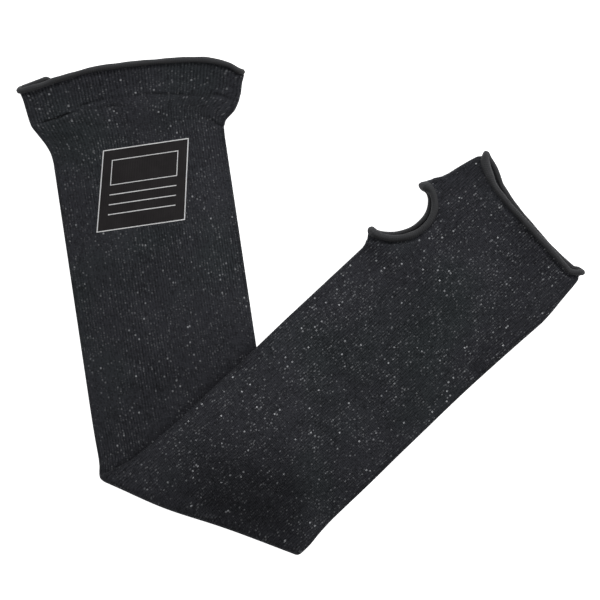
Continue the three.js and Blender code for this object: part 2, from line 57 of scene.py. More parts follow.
SIDE_INSIDE = 0.7
SIDE_LIFT = 1.2
LAYER_GAP = 1.2
ARM_ARCH = 9.7
HAND_SLANT = 10
HAND_TAPER = 35
BEAD_RADIUS = 1.9
BEAD_TURN_ROOM = 0.15
BEAD_RISE = 0.6
THUMB_BEAD_RADIUS = 2.2
EDGE_RUN = 15

# How the sleeve lies: headings in degrees, anticlockwise from +X
ARM_HEADING = -81.5
HAND_HEADING = 42.4
FOLD_DIRECTION = -21
FOLD_AT = 284
FOLD_REACH = 1.5
NUDGE = (-0.2, -0.8)
FOLD_BULGE = {"at": -20, "run": 30, "reach": 2.3, "fade": 16}
FOLD_PUSH = 1.6
FOLD_CORNER = {"at": -59, "run": 5, "depth": 1.5}
DRIFT_START = 45
DRIFT_LENGTH = 105
OPEN_RUN = 65
ARM_OPEN_RUN = 48
HAND_OPEN_RUN = 66
PRESS_START = 2
PRESS_RUN = 43
PRESS_EDGE = 0.9
DRAPE_START = 7
DRAPE_RUN = 24
SIDE_LIFT_FROM = 0.72
DOME = {"flatness": 4, "shoulder": 1.5}

# Where the rings slope as the fold does, in shares of the length; level is how far beside the fold
# they reach the full slope
SLOPE_SPAN = {"low": 0.13, "high": 0.83, "level": 0.04}

# Narrowing toward the hand end, and how many passes find the edge of a sloping ring
TAPER_POWER = 1.6
EDGE_PASSES = 4

# Slow unevenness: how many waves, their lengths in millimetres, how far their phases are spread and
# what their sum is divided by
WANDER = {"waves": 9, "length": 34, "spread": 16, "phase": 7, "divisor": 4}
WANDER_SEEDS = {"crease": 4, "cloth": 5, "rib_place": 8, "rib_depth": 9}
CLOTH_UNEVENNESS = 0.45

# Thumb hole
THUMB_AT = 506.7
THUMB_HALF_FRONT = 23.2
THUMB_HALF_BACK = 20.4
THUMB_DEPTH_FRONT = 21
THUMB_DEPTH_BACK = 17.2
THUMB_FLARE = 4.3
THUMB_FLARE_TILT = 0.02
THUMB_SKEW = 4
THUMB_CURL = 1.5
THUMB_CURL_TURN = 12
THUMB_FLARE_RUN = 9
THUMB_KNOB = {"turn": 16, "arm_side": 0.4, "size": 0.6}
THUMB_BESIDE = -0.6
THUMB_PASSES = 5

# Cut of the thumb hole: the faces looked at lie within near, in metres; outward in millimetres; inward
# and least in shares of the hole
THUMB_CUT = {"near": 0.04, "outward": 12, "inward": 1.2, "least": 0.5}

# Label print: its corners in the frame, and how far it stands off the knit
LABEL_CORNERS = {
    "top_left": (-122.6, 95.2),
    "top_right": (-69.2, 103.1),
    "bottom_right": (-71.5, 52.0),
    "bottom_left": (-126.8, 44.0),
}
LABEL_THICKNESS = 0.2
LABEL_WALL = 0.12
LABEL_GRID = {"rows": 71, "columns": 77}
LABEL_RAY_FROM = 0.1

# Knit: stitches in one round of the tube, and the height of one course
WALES = 140
COURSE = 1.1
RIB_DEPTH = 0.55
RIB_SHARPNESS = 1.5
RIB_JITTER = 0.12
RIB_UNEVEN = {"middle": 0.75, "swing": 0.3}
RIB_END = {"run": 4, "fade": 0.8}
CUFF_WALL = 0.91

# Past the fold the wales run straight, from a place and over a run in millimetres; each side bend
# gets some wales more, so that none is drawn out
WALES_STRAIGHT = {"from": 215, "run": 60}
BEND_WALES = 6

# Tuck of the cloth along a binding: how far from its edge, how wide and how deep
TUCK_AT = 3.0
TUCK_WIDTH = 1.2
TUCK_DEPTH = 0.9
ARM_TUCK_DEPTH = 0.3

# Mesh fineness: places along each half of a ring, round each side bend, and between rings
BODY_RING = {"flat": 84, "arc": 12}
CUFF_RING = {"flat": 276, "arc": 24}
END_RING = {"flat": 60, "arc": 12, "crowding": 0.4}
COARSE_RING = {"flat": 8, "arc": 5, "crowding": 0.6}
COARSE_STEP = 6
BODY_STEP = 2.95
THUMB_STEP = 1.5
FINE_STEP = 0.6
BEND_STEP = 0.45
CUFF_STEP = 0.55
THUMB_FINE_RUN = 30
END_FINE_RUN = 8
BEND_ROOM = 3
AT_BEND = 0.9999
LEVEL = 0.999
MERGE_DISTANCE = 1e-6

# Bindings: sides of the bead, parts of each stretch of its path, places round the thumb hole and
# along each path
BEAD_SIDES = 24
PATH_PARTS = 8
THUMB_TURNS = 28
PATH_POINTS = {"arm": 460, "hand": 340, "thumb": 200}

# Bead surface: depth of its three threads, and waves of its size as share, length and phase
THREAD_DEPTH = 0.04
BEAD_WAVES = [(0.05, 8.3, 0), (0.04, 3.7, 1), (0.03, 1.9, 0)]

# Where a bead is rolled twice: across in shares of the flat part, and how much thicker it is
SWELL_RUN = 0.1
ARM_SWELL = {"low": 2, "high": 3, "extra": 0}
HAND_SWELL = {"low": -1.1, "high": -0.8, "extra": 0.42}

# Flare of the cuff: down in cuff heights, widths in shares of the flare
CUFF_FLARE = {
    "down": [0, 0.17, 0.33, 0.67, 1, 1.33, 1.67, 2, 2.3],
    "left": [0.93, 0.89, 0.81, 0.74, 0.66, 0.42, 0.18, 0.04, 0],
    "right": [1.03, 1.09, 0.98, 0.83, 0.56, 0.1, 0.01, 0, 0],
}

# Sides past the cuff: along in shares of the length, widths in shares of the half width
BODY_SIDES = {
    "along": [0.43, 0.456, 0.497, 0.533, 0.555, 0.573, 0.585, 0.6, 0.622, 0.68, 0.733, 0.837, 0.96, 1],
    "left": [1.043, 1.058, 0.972, 0.965, 0.968, 0.976, 0.986, 1.0, 1.012, 1.038, 1.06, 1.073, 1.085, 1.085],
    "right": [0.973, 0.975, 0.987, 1.012, 1.052, 1.11, 1.105, 1.08, 1.054, 1.02, 0.99, 0.964, 0.985, 1.03],
}

# Arm end edge: across in shares of the half width, drop of each layer in shares of the arch
ARM_EDGE = {
    "across": [-1, -0.8, -0.735, -0.7, -0.61, -0.26, 0, 0.38, 0.66, 0.88, 1],
    "under": [0.54, 0.26, 0.18, 0.48, 0.36, 0.1, 0.13, 0.27, 0.51, 1.06, 1.6],
    "over": [0.7, 0.56, 0.48, 0.4, 0.31, 0.04, 0.08, 0.23, 0.47, 1.02, 1.58],
}

# Hand end edge: reach of each layer past the square end in shares of the slant
HAND_EDGE = {
    "across": [-1, -0.93, -0.8, -0.68, -0.55, -0.25, 0, 0.45, 0.85, 0.93, 1],
    "under": [1.14, 0.8, 0.47, 0.26, 0.12, 0.04, 0.05, 0.05, 0.06, 0.28, 0.6],
    "over": [1.26, 1.12, 1.0, 0.78, 0.53, 0.29, 0.24, 0.18, 0.33, 0.55, 0.62],
}

def rows_of(names, rows):
    """Rows of a table, with its columns under the given names."""
    return [dict(zip(names.split(), row)) for row in rows]


# Soft dents in the upward layer: at in shares of the length, across, run and width in shares of
# the half width, depth in shares of the hollow, turn in degrees from straight across the sleeve
DENTS = rows_of("at across turn run width depth", [
    (0.068, -0.5, 6, 0.32, 0.05, 0.08),
    (0.088, 0.88, -30, 0.2, 0.09, 0.12),
    (0.367, -0.55, 2, 0.7, 0.11, 0.14),
    (0.425, -0.75, 24, 0.5, 0.14, 0.1),
    (0.59, 0.35, 30, 0.6, 0.14, 0.14),
    (0.732, -0.45, -4, 0.6, 0.12, 0.16),
    (0.82, 0.4, -14, 0.6, 0.14, 0.09),
])

# Fine creases of the upward layer: at and across in millimetres from the arm end and the centre
# line, turn in degrees, run, width and depth in millimetres
CREASES = rows_of("at across turn run width depth", [
    (23.6, -51.0, 1, 13, 0.7, 1.1),
    (21.2, -27.6, 0, 10, 0.8, 0.9),
    (26.5, -12.0, 6, 12, 0.85, 0.5),
    (21.2, -1.8, 1, 9, 0.9, 0.45),
    (22.2, 22.4, 4, 14, 0.75, 0.85),
    (19.5, 54.2, -13, 12, 0.85, 0.65),
    (35.7, 48.3, 7, 8, 1.6, 0.5),
    (28.4, -44.5, 3, 9, 1.3, 0.35),
    (37.5, -44, 12, 11, 2.4, 0.35),
])

# How uneven a crease is along its run, and how much finer than the cloth's own unevenness
CREASE_UNEVEN = {"middle": 0.9, "swing": 0.4, "least": 0.3, "most": 1.3}
CREASE_FINER = {"along": 3, "across": 2}

# Share of its light that the cloth loses in a crease one millimetre deep, painted as shade into its colour
CREASE_SHADE = 0.6

# Broad places of painted shade on the cloth, near the fold and under the cuff, placed as the creases are
PAINTED_SHADE_SPOTS = rows_of("at across turn run width shade", [
    (312, 14, 29.5, 46, 25, 0.5),
    (344, 26, 29.5, 26, 24, 0.14),
    (250, -25, 29.5, 34, 16, 0.14),
    (40, 0, 0, 50, 12, 0.12),
])


def smooth(value):
    """Smooth step from 0 to 1."""
    value = np.clip(value, 0, 1)
    return value * value * (3 - 2 * value)


def mix(low, high, share):
    return low + (high - low) * share


def heading(degrees):
    angle = np.radians(degrees)
    return np.stack([np.cos(angle), np.sin(angle)], axis=-1)


def read_table(rows, key, column, at):
    """A smooth curve through the rows of a table, with no overshoot, flat beyond both ends."""
    keys = np.array(rows[key], float)
    values = np.array(rows[column], float)
    steps = np.diff(keys)
    rises = np.diff(values) / steps
    slopes = np.zeros(len(keys))
    before, after = rises[:-1], rises[1:]
    same = before * after > 0
    total = np.where(same, before + after, 1)
    slopes[1:-1] = np.where(same, 2 * before * after / total, 0)
    at = np.clip(at, keys[0], keys[-1])
    row = np.clip(np.searchsorted(keys, at, side="right") - 1, 0, len(keys) - 2)
    part = (at - keys[row]) / steps[row]
    square, cube = part ** 2, part ** 3
    return (
        values[row] * (2 * cube - 3 * square + 1)
        + values[row + 1] * (3 * square - 2 * cube)
        + slopes[row] * steps[row] * (cube - 2 * square + part)
        + slopes[row + 1] * steps[row] * (cube - square)
    )


# Sizes that follow from the ones above
START = BEAD_RADIUS
END = LENGTH - BEAD_RADIUS
FOLD_THICKNESS = 2 * WALL + FOLD_HOLLOW
HAND_BASE = 2 * (WALL + SIDE_INSIDE) + LAYER_GAP
BEND_HEIGHT = (HAND_BASE + FOLD_THICKNESS) / 2
BEND_MIDDLE = BEND_HEIGHT - FOLD_THICKNESS / 2
BEND_FROM = FOLD_REACH - BEND_HEIGHT
BEAD_LIFT = BEAD_RADIUS - WALL / 2
BEAD_INSIDE = BEAD_RADIUS + BEAD_TURN_ROOM - WALL / 2
FOLD_SLOPE = math.tan(math.radians(ARM_HEADING + 90 - FOLD_DIRECTION))
DRIFT = HAND_HEADING - (2 * FOLD_DIRECTION - ARM_HEADING)
ALONG_FOLD = heading(FOLD_DIRECTION)
PAST_FOLD = heading(FOLD_DIRECTION - 90)
ARM_AHEAD = heading(ARM_HEADING)
BEND_PER_STATION = float(ARM_AHEAD @ PAST_FOLD)
BEND_START = FOLD_AT + BEND_FROM / BEND_PER_STATION
BEND_END = BEND_START + math.pi * BEND_MIDDLE / BEND_PER_STATION


def lay_out(place, across):
    """Plan of the sleeve before it is folded: straight, then a slight drift to one side."""
    past = place - FOLD_AT
    share = np.clip((past - DRIFT_START) / DRIFT_LENGTH, 0, 1)
    turned = ARM_HEADING - DRIFT * share
    left = heading(turned + 90)
    radius = DRIFT_LENGTH / math.radians(DRIFT)
    curve = (left - heading(ARM_HEADING + 90)) * radius
    straight = np.maximum(past - DRIFT_START - DRIFT_LENGTH, 0)[..., None]
    plan = ARM_AHEAD * np.minimum(past, DRIFT_START)[..., None] + curve
    return plan + heading(turned) * straight + left * across[..., None]


def fold_over(flat, height):
    """Folds laid out points of the given height over the bend line."""
    along = flat @ ALONG_FOLD
    past = flat @ PAST_FOLD
    turn = np.clip((past - BEND_FROM) / BEND_MIDDLE, 0, math.pi)
    reach = BEND_HEIGHT - height
    bent = BEND_FROM + reach * np.sin(turn)
    beyond = math.pi * BEND_MIDDLE + 2 * BEND_FROM - past
    after = np.where(turn <= 0, past, np.where(turn >= math.pi, beyond, bent))
    level = BEND_HEIGHT - reach * np.cos(turn)
    swell = np.exp(-((along - FOLD_BULGE["at"]) / FOLD_BULGE["run"]) ** 2)
    nearness = np.exp(-((FOLD_REACH - after) / FOLD_BULGE["fade"]) ** 2)
    rounded = np.clip((FOLD_CORNER["at"] - along) / FOLD_CORNER["run"], 0, 1.5) ** 2
    push = FOLD_PUSH + FOLD_BULGE["reach"] * swell - FOLD_CORNER["depth"] * rounded
    after = after + push * nearness
    plan = along[..., None] * ALONG_FOLD + after[..., None] * PAST_FOLD
    return np.concatenate([plan, level[..., None]], axis=-1)


def fold_share(station):
    """Share of the fold's slope that a ring has: all beside the fold, none near either end."""
    low, high = SLOPE_SPAN["low"] * LENGTH, SLOPE_SPAN["high"] * LENGTH
    level = SLOPE_SPAN["level"] * LENGTH
    rising = (station - low) / (FOLD_AT - level - low)
    falling = (high - station) / (high - level - FOLD_AT)
    return np.minimum(smooth(rising), smooth(falling))


def side_inside(station):
    """Room inside the side bend: tight at the fold, wide at the bound edges."""
    plain = mix(FOLD_HOLLOW / 2, SIDE_INSIDE, smooth(np.abs(station - FOLD_AT) / OPEN_RUN))
    at_arm = 1 - smooth((station - CUFF_HEIGHT) / EDGE_RUN)
    at_hand = smooth((station - THUMB_AT + THUMB_HALF_FRONT + EDGE_RUN) / EDGE_RUN)
    return mix(plain, BEAD_INSIDE, np.maximum(at_arm, at_hand))


def hollow_at(station):
    """Height of the room inside: least in the fold, full away from it."""
    from_fold = np.abs(station - (BEND_START + BEND_END) / 2) - (BEND_END - BEND_START) / 2
    arm_open = smooth(from_fold / ARM_OPEN_RUN)
    hand_part = np.clip(from_fold / HAND_OPEN_RUN, 0, 1)
    hand_open = (smooth(hand_part) + hand_part * (2 - hand_part)) / 2
    return mix(FOLD_HOLLOW, HOLLOW, np.where(station > FOLD_AT, hand_open, arm_open))


def thumb_flare(station):
    """How far the side stands out beside the thumb hole."""
    offset = (station - THUMB_AT) / THUMB_HALF_FRONT
    tilt = 1 - THUMB_FLARE_TILT * np.clip(offset, -1, 1)
    outside = np.maximum(np.abs(offset) - 1, 0) * THUMB_HALF_FRONT
    return THUMB_FLARE * tilt * (1 - smooth(outside / THUMB_FLARE_RUN))


def side_width(station, side):
    """Half width of one side at a ring, whose edge the fold slope moves to another station."""
    sign = -1 if side == "left" else 1
    slope = FOLD_SLOPE * fold_share(station)
    flare = (CUFF_HALF - BODY_HALF) * read_table(CUFF_FLARE, "down", side, station / CUFF_HEIGHT)
    width = BODY_HALF + 0 * station
    for _ in range(EDGE_PASSES):
        edge = station + sign * slope * width
        taper = np.maximum(edge - END + HAND_TAPER, 0) / HAND_TAPER
        width = BODY_HALF * read_table(BODY_SIDES, "along", side, edge / LENGTH)
        width = width + flare - (BODY_HALF - HAND_HALF) * taper ** TAPER_POWER
        if side == "left":
            width = width + thumb_flare(edge)
    return width


THUMB_SIDE_WIDTH = float(side_width(np.array([float(THUMB_AT)]), "left")[0])


def edge_lift(station, across):
    """The lower layer is raised at the bindings, which rest on the ground."""
    arm = 1 - smooth((station - START) / EDGE_RUN)
    hand = smooth((station - END + EDGE_RUN) / EDGE_RUN)
    away = np.hypot(station - THUMB_AT, across + THUMB_SIDE_WIDTH)
    thumb = 1 - smooth((away - THUMB_HALF_FRONT) / EDGE_RUN)
    return BEAD_LIFT * np.maximum(np.maximum(arm, hand), thumb)


def marks_at(rows, key, place, across, power=2, length=1, width=1):
    """Sum of the marks of a table: each is strongest in its middle and fades past its run and width.

    length and width are what places along the sleeve, and all other measures, are given in shares of.
    """
    total = 0 * across
    for row in rows:
        along = place - row["at"] * length
        aside = across - row["across"] * width
        turn = math.radians(row["turn"])
        lengthwise = (aside * math.cos(turn) + along * math.sin(turn)) / (row["run"] * width)
        crosswise = (along * math.cos(turn) - aside * math.sin(turn)) / (row["width"] * width)
        total = total + row[key] * np.exp(-np.abs(lengthwise) ** power - crosswise ** 2)
    return total


def dent_at(place, across):
    """Depth of the soft dents."""
    return HOLLOW * marks_at(DENTS, "depth", place, across, length=LENGTH, width=BODY_HALF)


def crease_at(place, across):
    """Depth of the fine creases."""
    wave = wander(place * CREASE_FINER["along"], across * CREASE_FINER["across"], "crease")
    share = CREASE_UNEVEN["middle"] + CREASE_UNEVEN["swing"] * wave
    share = np.clip(share, CREASE_UNEVEN["least"], CREASE_UNEVEN["most"])
    return share * marks_at(CREASES, "depth", place, across, power=3)


def soft_shade_at(place, across):
    """Share of its light that the cloth loses to painted shade at the broad spots near the fold and under
    the cuff.
    """
    return marks_at(PAINTED_SHADE_SPOTS, "shade", place, across)


def tuck_at(station, place, across):
    """Depth of the tuck that runs along each binding."""
    inward = side_width(station, "left") + across
    half, deep = THUMB_HALF_FRONT, THUMB_DEPTH_FRONT
    lengthwise = (place - THUMB_AT - THUMB_SKEW * np.clip(inward / deep, 0, 1)) / half
    from_thumb = (np.hypot(lengthwise, inward / deep) - 1) * deep
    away = np.minimum(np.minimum(station - START, END - station), np.abs(from_thumb))
    depth = mix(ARM_TUCK_DEPTH, TUCK_DEPTH, smooth((station - CUFF_HEIGHT) / CUFF_HEIGHT))
    return depth * np.exp(-((away - TUCK_AT) / TUCK_WIDTH) ** 2)


def outside_hand_half(plan):
    """How far a place of the arm half lies clear of the hand half on top of it."""
    side = lay_out(np.array([BEND_END]), np.array([-BODY_HALF * PRESS_EDGE]))
    on_top = fold_over(side, np.zeros(1))[0, :2]
    return (plan[..., :2] - on_top) @ heading(2 * FOLD_DIRECTION - ARM_HEADING + 90)


def outside_arm_half(plan):
    """How far a place of the hand half lies clear of the arm half under it."""
    return plan[..., :2] @ heading(ARM_HEADING + 90) - BODY_HALF


def wander(place, across, use):
    """Slow unevenness of a laid cloth, mostly from -1 to 1."""
    draws = np.random.default_rng(WANDER_SEEDS[use])
    total = 0 * across
    for turn, pitch, phase in draws.uniform(-1, 1, (WANDER["waves"], 3)):
        length = WANDER["length"] + WANDER["spread"] * pitch
        angle = math.pi * turn
        walked = (place * math.cos(angle) + across * math.sin(angle)) / length
        total = total + np.sin(walked * 2 * math.pi + WANDER["phase"] * phase)
    return total / WANDER["divisor"]


def layer_edge(rows, edge_place, over):
    """Edge of the cloth from a table: over is 0 on the lower layer and 1 on the upper one."""
    edges = [read_table(rows, "across", layer, edge_place) for layer in ("under", "over")]
    return mix(*edges, over)


def arm_drop(station, edge_place, angle):
    """Share of the arch by which the rings near the arm end are drawn out of square."""
    over = (np.sin(angle) + 1) / 2
    drop = layer_edge(ARM_EDGE, edge_place, over)
    return drop * (1 - smooth((station - CUFF_HEIGHT) / (2 * CUFF_HEIGHT)))


def cloth(station, share, angle, depth=0.0, unevenness=0.0):
    """Points of the cloth in millimetres.

    station is the ring, share the place along its flat part from -1 to 1, and angle, in radians, the
    turn round the side bend: -pi/2 on the lower layer, pi/2 on the upper. depth is measured in from
    the outer surface.
    """
    station, share, angle, depth = np.broadcast_arrays(station, share, angle, depth)
    station = station.astype(float)
    radius = WALL + side_inside(station)
    width = np.where(share < 0, side_width(station, "left"), side_width(station, "right"))
    bend = (radius - depth) * np.cos(angle)
    across = share * (width - radius) + np.sign(share) * np.where(np.abs(share) > AT_BEND, bend, 0)
    height = radius + (radius - depth) * np.sin(angle)

    edge_place = np.clip(across / width, -1, 1)
    over = (np.sin(angle) + 1) / 2
    hand_share = smooth((station - END + HAND_TAPER) / HAND_TAPER)
    hand_reach = layer_edge(HAND_EDGE, edge_place, over)
    place = station + FOLD_SLOPE * fold_share(station) * across
    place = place + ARM_ARCH * arm_drop(station, edge_place, angle) + HAND_SLANT * hand_share * hand_reach
    flat = lay_out(place, across)

    folded = station > FOLD_AT
    in_bend = (station > BEND_START) & (station < BEND_END)
    plan = fold_over(flat, np.zeros_like(across))
    press = smooth((outside_hand_half(plan) - PRESS_START) / PRESS_RUN)
    press = np.where(folded, 1, press)
    dome = (1 - share ** DOME["flatness"]) ** DOME["shoulder"]
    dome = (hollow_at(station) - 2 * side_inside(station)) * dome
    relief = dent_at(place, across) - unevenness * wander(place, across, "cloth")
    puff = (dome - relief * (1 - share ** 2)) * press
    height = height + np.where(folded, FOLD_THICKNESS - 2 * radius, 0)
    upward = np.where(folded, np.sin(angle) < -LEVEL, np.sin(angle) > LEVEL)
    height = height + np.where(upward & ~in_bend, np.where(folded, -puff, puff), 0)

    points = fold_over(flat, height)
    aside = smooth((np.abs(across) / width - SIDE_LIFT_FROM) / (1 - SIDE_LIFT_FROM))
    puffed = smooth((hollow_at(station) - FOLD_HOLLOW) / (HOLLOW - FOLD_HOLLOW))
    settled = smooth((station - BEND_END) / EDGE_RUN)
    drape = smooth((outside_arm_half(plan) - DRAPE_START) / DRAPE_RUN)
    raised = SIDE_LIFT * aside * puffed * press - HAND_BASE * drape * settled
    points[..., 2] += np.where(in_bend, 0, raised + edge_lift(station, across))
    return points, place, across


def ring_spots(steps):
    """Shares and angles round one ring: lower layer, right bend, upper layer, left bend, and closed."""
    flat, arc = steps["flat"], steps["arc"]
    even = -1 + 2 * np.arange(flat) / flat
    spread = mix(even, np.sin(even * math.pi / 2), steps.get("crowding", 0))
    bend = math.pi * np.arange(arc) / arc - math.pi / 2
    share = np.concatenate([spread, np.ones(arc), -spread, -np.ones(arc), spread[:1]])
    low, high = np.full(flat, -math.pi / 2), np.full(flat, math.pi / 2)
    angle = np.concatenate([low, bend, high, -bend, low[:1]])
    return share, angle


def stations_between(low, high, step):
    """Even places from low to high, about a step apart."""
    return np.linspace(low, high, max(round((high - low) / step), 1) + 1)


def frame_shift():
    """What moves the laid out sleeve to the place of the solids, in millimetres."""
    share, angle = ring_spots(COARSE_RING)
    rings = stations_between(CUFF_HEIGHT, END, COARSE_STEP)
    points = cloth(rings[:, None], share[None], angle[None])[0].reshape(-1, 3)
    low, high = (np.array(corner) * 1000 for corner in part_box("sleeve_tube"))
    shift = (low + high - points.min(0) - points.max(0)) / 2
    shift[2] = 0
    return shift + np.array([*NUDGE, 0])


SHIFT = frame_shift()


def to_metres(points):
    return (points + SHIFT) / 1000


def surface_piece(name, points, first, second, closed_ring, shade=None):
    """A piece on a grid of points, with first and second as its pattern coordinates."""
    rows, columns = points.shape[:2]
    mesh = bmesh.new()
    # Painted shade of the cloth, from 0 to 1
    cloth_shade = mesh.verts.layers.float.new("cloth_shade")
    pattern = mesh.loops.layers.uv.new("pattern")
    bmesh.ops.create_grid(mesh, x_segments=rows - 1, y_segments=columns - 1, size=1)
    places = to_metres(points)

    def spot_of(vert):
        """Row and column of a vertex that is still in the plain grid."""
        return round((vert.co.x + 1) / 2 * (rows - 1)), round((vert.co.y + 1) / 2 * (columns - 1))

    for face in mesh.faces:
        for loop in face.loops:
            spot = spot_of(loop.vert)
            loop[pattern].uv = (first[spot], second[spot])
    for vert in mesh.verts:
        spot = spot_of(vert)
        vert.co = places[spot]
        if shade is not None:
            vert[cloth_shade] = shade[spot]
    if closed_ring:
        bmesh.ops.remove_doubles(mesh, verts=mesh.verts, dist=MERGE_DISTANCE)
    return finish_mesh(name, mesh)


def finish_mesh(name, mesh):
    """Makes the object of a mesh, shaded smooth but for its open rims."""
    bmesh.ops.recalc_face_normals(mesh, faces=mesh.faces)
    mesh.edges.index_update()
    rims = {edge.index for edge in mesh.edges if edge.is_boundary}
    data = bpy.data.meshes.new(name)
    mesh.to_mesh(data)
    mesh.free()
    for face in data.polygons:
        face.use_smooth = True
    for edge in data.edges:
        edge.use_edge_sharp = edge.index in rims
    piece = bpy.data.objects.new(name, data)
    bpy.context.scene.collection.objects.link(piece)
    return piece


def thicken(piece, inward):
    """Gives a surface its wall, a number of millimetres inward."""
    wall = piece.modifiers.new("wall", "SOLIDIFY")
    wall.thickness = inward / 1000
    wall.offset = -1
    wall.use_even_offset = True
    wall.use_quality_normals = True


# Thumb hole, in its own terms: ahead along the hand half and inward from the side
def mid_wall(station, share, angle):
    """The place in the middle of the wall at one spot."""
    return cloth(np.array([float(station)]), share, angle, WALL / 2)[0][0]


THUMB_SIDE = mid_wall(THUMB_AT, -1.0, 0.0)
THUMB_LOW = mid_wall(THUMB_AT, THUMB_BESIDE, math.pi / 2)[2]
THUMB_HIGH = mid_wall(THUMB_AT, THUMB_BESIDE, -math.pi / 2)[2]


def thumb_size(height):
    """Half length and depth of the hole at a height, from its back edge to its front edge."""
    level = np.clip((height - THUMB_LOW) / (THUMB_HIGH - THUMB_LOW), 0, 1)
    half = mix(THUMB_HALF_BACK, THUMB_HALF_FRONT, level)
    return half, mix(THUMB_DEPTH_BACK, THUMB_DEPTH_FRONT, level)


def cut_thumb_hole(piece):
    """Removes the cloth inside the hole and draws the cut edge onto the hole's outline."""
    ahead, outward = heading(HAND_HEADING), heading(HAND_HEADING + 90)
    centre = (THUMB_SIDE + SHIFT) / 1000

    def local(co):
        offset = (np.array(co) - centre) * 1000
        inward = -float(offset[:2] @ outward)
        half, depth = thumb_size(float(co[2]) * 1000)
        along = float(offset[:2] @ ahead) - THUMB_SKEW * max(inward, 0) / depth
        return along, inward, half, depth

    mesh = bmesh.new()
    mesh.from_mesh(piece.data)
    gone = []
    for face in mesh.faces:
        middle = face.calc_center_median()
        if (middle.xy - Vector(centre[:2])).length > THUMB_CUT["near"]:
            continue
        along, inward, half, depth = local(middle)
        inside = (along / half) ** 2 + (max(inward, 0) / depth) ** 2 < 1
        if inside and -THUMB_CUT["outward"] < inward < THUMB_CUT["inward"] * depth:
            gone.append(face)
    bmesh.ops.delete(mesh, geom=gone, context="FACES")
    for vert in mesh.verts:
        if not vert.is_boundary or (vert.co.xy - Vector(centre[:2])).length > THUMB_CUT["near"]:
            continue
        along, inward, half, depth = local(vert.co)
        size = math.hypot(along / half, max(inward, 0) / depth)
        if inward <= 0:
            shift = along * (1 / max(abs(along / half), THUMB_CUT["least"]) - 1) * ahead
        else:
            stretch = 1 / size - 1
            shift = along * stretch * ahead - inward * stretch * outward
        vert.co.x += float(shift[0]) / 1000
        vert.co.y += float(shift[1]) / 1000
    mesh.to_mesh(piece.data)
    mesh.free()


def wale_places(steps, rings, share, angle):
    """The wale at each point round the rings; past the fold the wales run straight ahead."""
    width = np.where(share < 0, side_width(rings, "left"), side_width(rings, "right"))
    straight = smooth((rings - WALES_STRAIGHT["from"]) / WALES_STRAIGHT["run"])
    reach = share * mix(1, width / BODY_HALF, straight)
    half_layer = WALES / 4 * steps["flat"] / (steps["flat"] + steps["arc"])
    lower = half_layer * (1 + reach)
    upper = WALES / 2 + BEND_WALES + half_layer * (1 - reach)
    full_turn = (WALES + 2 * BEND_WALES) * (np.arange(share.shape[-1]) >= 2 * steps["flat"] + steps["arc"])
    return mix(lower + full_turn, upper, angle / math.pi + 0.5)


def make_body():
    """The knitted tube with its thumb hole."""
    share, angle = ring_spots(BODY_RING)
    thumb_start, thumb_end = THUMB_AT - THUMB_FINE_RUN, THUMB_AT + THUMB_FINE_RUN
    rings = np.unique(np.concatenate([
        stations_between(CUFF_HEIGHT, 2 * CUFF_HEIGHT, FINE_STEP),
        stations_between(2 * CUFF_HEIGHT, BEND_START - BEND_ROOM, BODY_STEP),
        stations_between(BEND_START, BEND_END, BEND_STEP),
        stations_between(BEND_END + BEND_ROOM, thumb_start, BODY_STEP),
        stations_between(thumb_start, thumb_end, THUMB_STEP),
        stations_between(thumb_end, END - END_FINE_RUN, BODY_STEP),
        stations_between(END - END_FINE_RUN, END, FINE_STEP),
    ]))[:, None]
    points, place, shade = creased_cloth(rings, share[None], angle[None], 0.0)
    wales = wale_places(BODY_RING, rings, share[None], angle[None])
    piece = surface_piece("knit_tube", points, wales, place / COURSE, True, shade)
    cut_thumb_hole(piece)
    thicken(piece, WALL)
    return piece


def creased_cloth(rings, share, angle, depth):
    """The cloth with its fine creases and tucks pressed in."""
    _, place, across = cloth(rings, share, angle)
    crease = crease_at(place - ARM_ARCH * arm_drop(rings, share, angle), across)
    depth = depth + tuck_at(rings + 0 * share, place, across) + crease
    points = cloth(rings, share, angle, depth, CLOTH_UNEVENNESS)[0]
    # Painted shade: darker colour in the creases of the upward layer and at the broad shade spots
    shade = crease * np.clip(np.sin(angle), 0, 1) * CREASE_SHADE + soft_shade_at(place, across)
    return points, place, np.minimum(shade, 1)


def make_cuff():
    """The ribbed band, whose ribs are a little uneven and fade toward the tube."""
    share, angle = ring_spots(CUFF_RING)
    rings = stations_between(START, CUFF_HEIGHT, CUFF_STEP)[:, None]
    wales = np.linspace(0, WALES, len(share))[None] + 0 * rings
    jitter = RIB_JITTER * wander(wales * 3, rings * 1.5, "rib_place")
    valley = (0.5 + 0.5 * np.cos((wales + jitter) * 2 * math.pi)) ** RIB_SHARPNESS
    fading = 1 - RIB_END["fade"] * smooth((rings - CUFF_HEIGHT + RIB_END["run"]) / RIB_END["run"])
    uneven = RIB_UNEVEN["middle"] + RIB_UNEVEN["swing"] * wander(wales * 2, rings, "rib_depth")
    depth = RIB_DEPTH * valley * fading * uneven
    points, place, shade = creased_cloth(rings, share[None], angle[None], depth)
    piece = surface_piece("rib_cuff", points, wales, place / COURSE, True, shade)
    thicken(piece, CUFF_WALL)
    return piece


